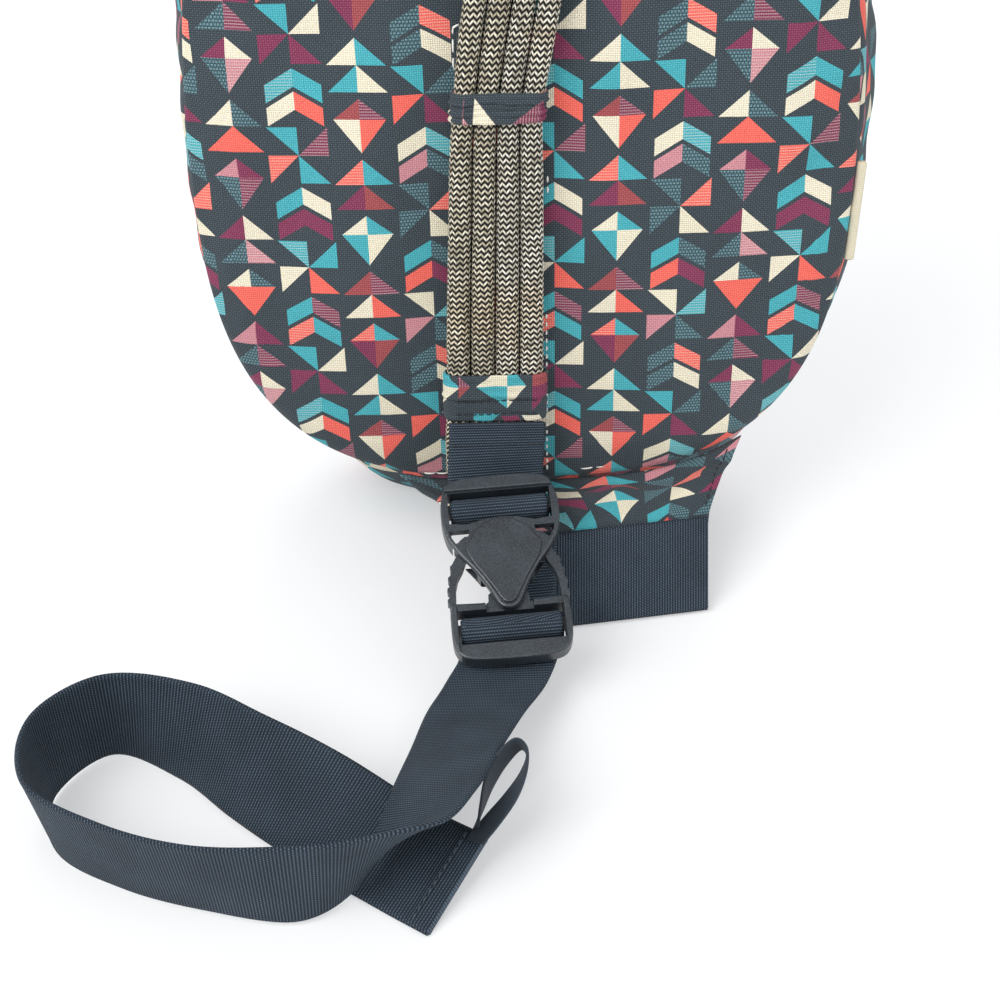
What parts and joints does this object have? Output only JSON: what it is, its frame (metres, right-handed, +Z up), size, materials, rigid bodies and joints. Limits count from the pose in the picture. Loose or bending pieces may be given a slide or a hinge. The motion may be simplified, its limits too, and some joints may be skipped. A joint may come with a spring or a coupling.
{
  "type": "rope sling bag",
  "caption": "Soft teardrop sling bag standing upright, with a padded back panel, parallel rope strap, side-release buckle, webbing tail and two zips on its far side.",
  "frame": {"origin": "middle of the flattened patch of the bottom that the bag stands on", "axes": "+X to the right seen from the strap side, +Y from the strap side to the zip side, +Z up"},
  "size_m": [0.3014, 0.3058, 0.5286],
  "materials": {
    "printed_cloth": "printed canvas, charcoal ground with teal, cream, coral and burgundy shapes",
    "webbing": "ribbed black webbing",
    "rope": "braided rope, black and straw zigzag",
    "buckle_plastic": "moulded, lightly textured",
    "cream_tape": "woven tape",
    "zip_tape": "woven tape with nylon coil",
    "zip_metal": "plated die casting",
    "pull_cord": "braided cord with a moulded grip"
  },
  "bodies": {
    "bag": {"main_compartment": "printed_cloth", "back_panel": "printed_cloth", "front_panel_right": "printed_cloth", "front_panel_left": "printed_cloth", "front_panel_middle": "printed_cloth", "main_zip_tape": "zip_tape", "main_zip_chain": "zip_tape", "main_zip_bottom_tab": "printed_cloth", "main_zip_top_tab": "printed_cloth", "pocket_zip_tape": "zip_tape", "pocket_zip_chain": "zip_tape", "pocket_zip_bottom_tab": "printed_cloth", "pocket_zip_top_tab": "printed_cloth", "rope_cord_1": "rope", "rope_cord_2": "rope", "rope_cord_3": "rope", "rope_cord_4": "rope", "rope_end_wrap": "printed_cloth", "rope_keeper_1": "printed_cloth", "rope_keeper_2": "printed_cloth", "rope_keeper_3": "printed_cloth", "rope_top_wrap": "printed_cloth", "side_tab": "cream_tape", "buckle_female": "buckle_plastic", "anchor_strap": "webbing", "wing_strap": "webbing", "wing": "printed_cloth", "adjuster_strap": "webbing", "pull_loop": "webbing"},
    "main_slider": {"main_zip_slider": "zip_metal", "main_zip_pull": "pull_cord"},
    "pocket_slider": {"pocket_zip_slider": "zip_metal", "pocket_zip_pull": "pull_cord"},
    "buckle_male_half": {"buckle_male": "buckle_plastic"}
  },
  "joints": [
    {"name": "main_zip_slide", "type": "slide", "parent": "bag", "child": "main_slider", "axis": [0.0209, 0.0133, -0.9997], "range_m": [0, 0.24]},
    {"name": "pocket_zip_slide", "type": "slide", "parent": "bag", "child": "pocket_slider", "axis": [0.0209, 0.0133, -0.9997], "range_m": [0, 0.24]},
    {"name": "buckle_release", "type": "slide", "parent": "bag", "child": "buckle_male_half", "axis": [0.094, -0.8939, -0.4384], "range_m": [0, 0.028], "deforming": ["adjuster_strap"]}
  ]
}
